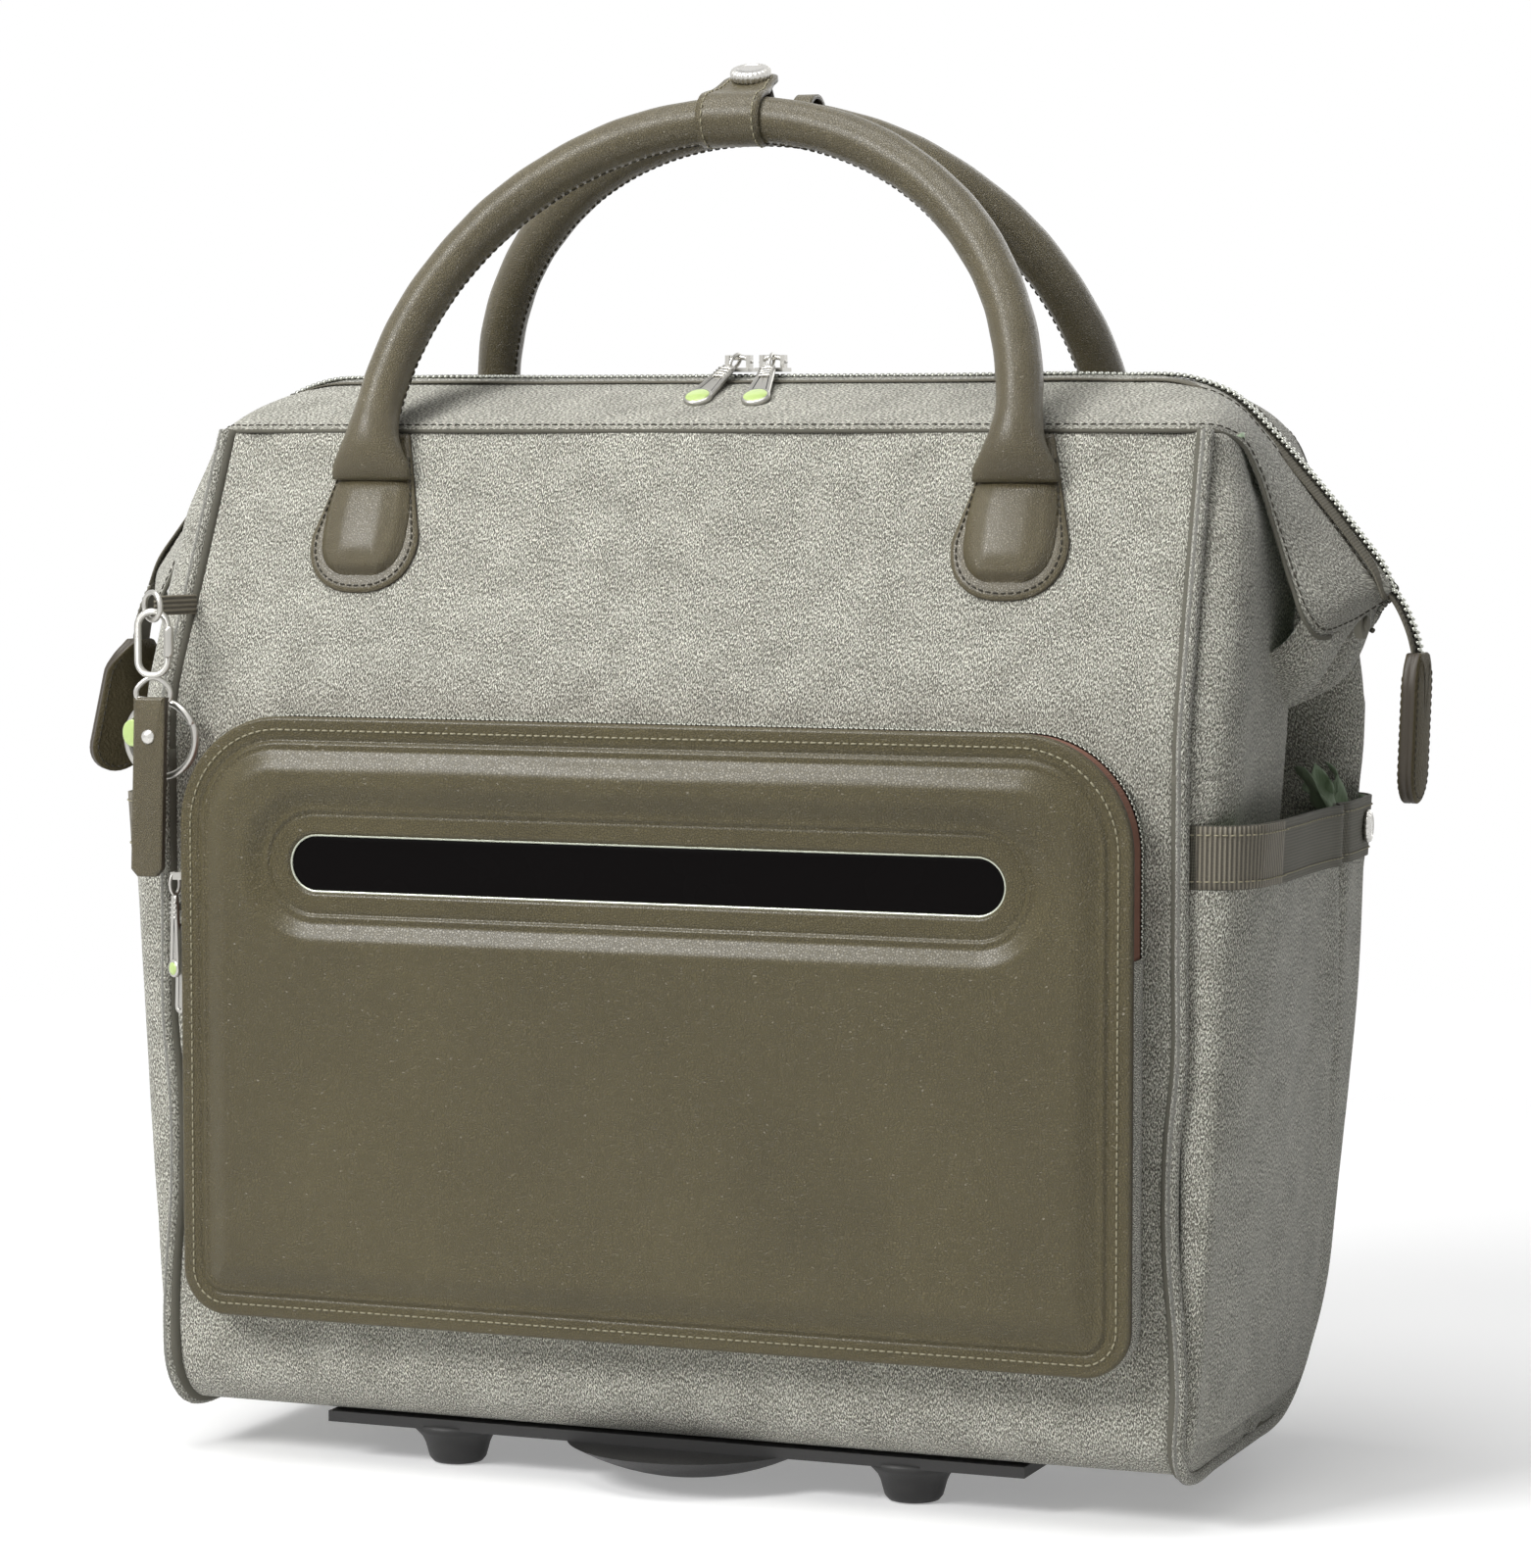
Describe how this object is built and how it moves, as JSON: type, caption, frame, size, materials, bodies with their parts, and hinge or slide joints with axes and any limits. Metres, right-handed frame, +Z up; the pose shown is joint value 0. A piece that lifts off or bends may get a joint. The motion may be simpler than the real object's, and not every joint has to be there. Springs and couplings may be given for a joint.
{
  "type": "rolling laptop bag",
  "caption": "Two-wheeled fabric laptop trolley bag with a framed zip mouth, leather carrying handles, a moulded front pocket and a telescopic trolley.",
  "frame": {"origin": "middle of the footprint, on the floor", "axes": "+X to the bag's right seen from the front, +Y to the back (wheels and trolley), +Z up"},
  "size_m": [0.5838, 0.2268, 0.5658],
  "materials": {
    "shell_fabric": "heathered twill, grey taupe",
    "olive_leather": "smooth fine-grain leather, olive brown",
    "lining_cloth": "pale woven lining",
    "black_plastic": "moulded, matt",
    "window_gloss": "gloss black window",
    "webbing": "ribbed webbing",
    "zip_tape": "red-brown zip tape with metal teeth",
    "metal_zip": "nickel zip teeth on tape",
    "nickel": "polished nickel",
    "tube_alloy": "anodised",
    "frame_steel": "plated",
    "tyre_rubber": "soft rubber",
    "board": "stiffener sheet"
  },
  "bodies": {
    "root": {"front_panel": "shell_fabric", "back_panel": "shell_fabric", "left_side_panel": "shell_fabric", "right_side_panel": "shell_fabric", "bottom_panel": "shell_fabric", "pipings": "shell_fabric", "lining": "lining_cloth", "base_board": "board", "back_board": "board", "laptop_divider": "lining_cloth", "pocket_wall": "shell_fabric", "pocket_zip": "zip_tape", "pocket_face": "olive_leather", "pocket_window": "window_gloss", "bottle_pockets": "shell_fabric", "pocket_webbings": "webbing", "pocket_snaps": "nickel", "base_tray": "black_plastic", "front_feet": "black_plastic", "wheel_housings": "black_plastic", "wheel_axles": "frame_steel", "trolley_outer_tubes": "tube_alloy", "trolley_collar": "black_plastic", "trolley_foot": "black_plastic", "fasteners": "frame_steel", "leash_anchor": "webbing"},
    "left_wheel": {"left_tyre": "tyre_rubber", "left_hub": "black_plastic"},
    "right_wheel": {"right_tyre": "tyre_rubber", "right_hub": "black_plastic"},
    "trolley_middle": {"trolley_mid_tubes": "tube_alloy"},
    "trolley_top": {"trolley_inner_tubes": "tube_alloy", "trolley_grip": "black_plastic"},
    "release_button": {"trolley_button": "black_plastic"},
    "front_jaw": {"front_frame": "frame_steel", "front_band": "shell_fabric", "front_zip": "metal_zip", "front_patches": "olive_leather"},
    "rear_jaw": {"rear_frame": "frame_steel", "rear_band": "shell_fabric", "rear_zip": "metal_zip", "rear_patches": "olive_leather"},
    "front_carry": {"front_handle": "olive_leather", "handle_wrap": "olive_leather", "snap_cap": "nickel"},
    "rear_carry": {"rear_handle": "olive_leather"},
    "left_slide": {"left_slider": "nickel"},
    "left_tab": {"left_pull": "nickel"},
    "right_slide": {"right_slider": "nickel"},
    "right_tab": {"right_pull": "nickel"},
    "upper_pocket_slide": {"upper_pocket_slider": "nickel"},
    "upper_pocket_tab": {"upper_pocket_pull": "nickel"},
    "lower_pocket_slide": {"lower_pocket_slider": "nickel"},
    "lower_pocket_tab": {"lower_pocket_pull": "nickel"},
    "left_tail_end": {"left_tail": "olive_leather"},
    "right_tail_end": {"right_tail": "olive_leather"},
    "leash": {"snap_hook": "nickel"},
    "gate": {"hook_gate": "nickel"},
    "strap": {"key_strap": "olive_leather"},
    "ring": {"key_ring": "nickel"}
  },
  "joints": [
    {"name": "left_wheel_spin", "type": "hinge", "parent": "root", "child": "left_wheel", "pos_m": [-0.181, 0.086, 0.028], "axis": [1, 0, 0], "continuous": true},
    {"name": "right_wheel_spin", "type": "hinge", "parent": "root", "child": "right_wheel", "pos_m": [0.181, 0.086, 0.028], "axis": [1, 0, 0], "continuous": true},
    {"name": "trolley_lower_slide", "type": "slide", "parent": "root", "child": "trolley_middle", "axis": [0, 0, 1], "range_m": [0, 0.285]},
    {"name": "trolley_upper_slide", "type": "slide", "parent": "trolley_middle", "child": "trolley_top", "axis": [0, 0, 1], "range_m": [0, 0.285]},
    {"name": "button_press", "type": "slide", "parent": "trolley_top", "child": "release_button", "axis": [0, 0, 1], "range_m": [-0.003, 0], "stiffness_N_per_m": 900},
    {"name": "front_mouth_hinge", "type": "hinge", "parent": "root", "child": "front_jaw", "pos_m": [0, 0.006, 0.345], "axis": [1, 0, 0], "range_deg": [0, 25]},
    {"name": "rear_mouth_hinge", "type": "hinge", "parent": "root", "child": "rear_jaw", "pos_m": [0, 0.006, 0.345], "axis": [-1, 0, 0], "range_deg": [0, 25]},
    {"name": "front_handle_hinge", "type": "hinge", "parent": "front_jaw", "child": "front_carry", "pos_m": [0, -0.06188, 0.4101], "axis": [1, 0, 0], "range_deg": [0, 95]},
    {"name": "rear_handle_hinge", "type": "hinge", "parent": "rear_jaw", "child": "rear_carry", "pos_m": [0, 0.07388, 0.4101], "axis": [-1, 0, 0], "range_deg": [0, 95]},
    {"name": "left_zip_slide", "type": "slide", "parent": "front_jaw", "child": "left_slide", "axis": [1, 0, 0], "range_m": [-0.16, 0]},
    {"name": "right_zip_slide", "type": "slide", "parent": "front_jaw", "child": "right_slide", "axis": [1, 0, 0], "range_m": [0, 0.16]},
    {"name": "left_pull_hinge", "type": "hinge", "parent": "left_slide", "child": "left_tab", "pos_m": [-0.003, 0.006, 0.45], "axis": [-1, 0, 0], "range_deg": [0, 120]},
    {"name": "right_pull_hinge", "type": "hinge", "parent": "right_slide", "child": "right_tab", "pos_m": [0.012, 0.006, 0.45], "axis": [-1, 0, 0], "range_deg": [0, 120]},
    {"name": "upper_pocket_zip_slide", "type": "slide", "parent": "root", "child": "upper_pocket_slide", "axis": [0, 0, 1], "range_m": [0, 0.014]},
    {"name": "lower_pocket_zip_slide", "type": "slide", "parent": "root", "child": "lower_pocket_slide", "axis": [0, 0, 1], "range_m": [0, 0.014]},
    {"name": "upper_pocket_pull_hinge", "type": "hinge", "parent": "upper_pocket_slide", "child": "upper_pocket_tab", "pos_m": [-0.206, -0.1033, 0.24], "axis": [0, 1, 0], "range_deg": [0, 90]},
    {"name": "lower_pocket_pull_hinge", "type": "hinge", "parent": "lower_pocket_slide", "child": "lower_pocket_tab", "pos_m": [-0.206, -0.0989, 0.227], "axis": [0, 1, 0], "range_deg": [0, 90]},
    {"name": "left_tail_hinge", "type": "hinge", "parent": "root", "child": "left_tail_end", "pos_m": [-0.2712, 0.006, 0.354], "axis": [0, 1, 0], "range_deg": [0, 45]},
    {"name": "right_tail_hinge", "type": "hinge", "parent": "root", "child": "right_tail_end", "pos_m": [0.2712, 0.006, 0.354], "axis": [0, -1, 0], "range_deg": [0, 45]},
    {"name": "leash_swing", "type": "hinge", "parent": "root", "child": "leash", "pos_m": [-0.2134, -0.107, 0.3473], "axis": [0, 1, 0], "range_deg": [0, 15]},
    {"name": "gate_hinge", "type": "hinge", "parent": "leash", "child": "gate", "pos_m": [-0.2078, -0.10485, 0.3288], "axis": [-0.3584, 0.9336, 0], "range_deg": [-18, 0], "stiffness_Nm_per_rad": 0.02},
    {"name": "strap_swivel", "type": "hinge", "parent": "leash", "child": "strap", "pos_m": [-0.2134, -0.107, 0.3148], "axis": [0, 0, 1], "range_deg": [-30, 0]},
    {"name": "ring_swing", "type": "hinge", "parent": "strap", "child": "ring", "pos_m": [-0.2134, -0.1005, 0.3118], "axis": [0, 1, 0], "range_deg": [0, 35]}
  ],
  "couplings": [
    {"joint": "lower_pocket_zip_slide", "follows": "upper_pocket_zip_slide", "ratio": 1}
  ]
}
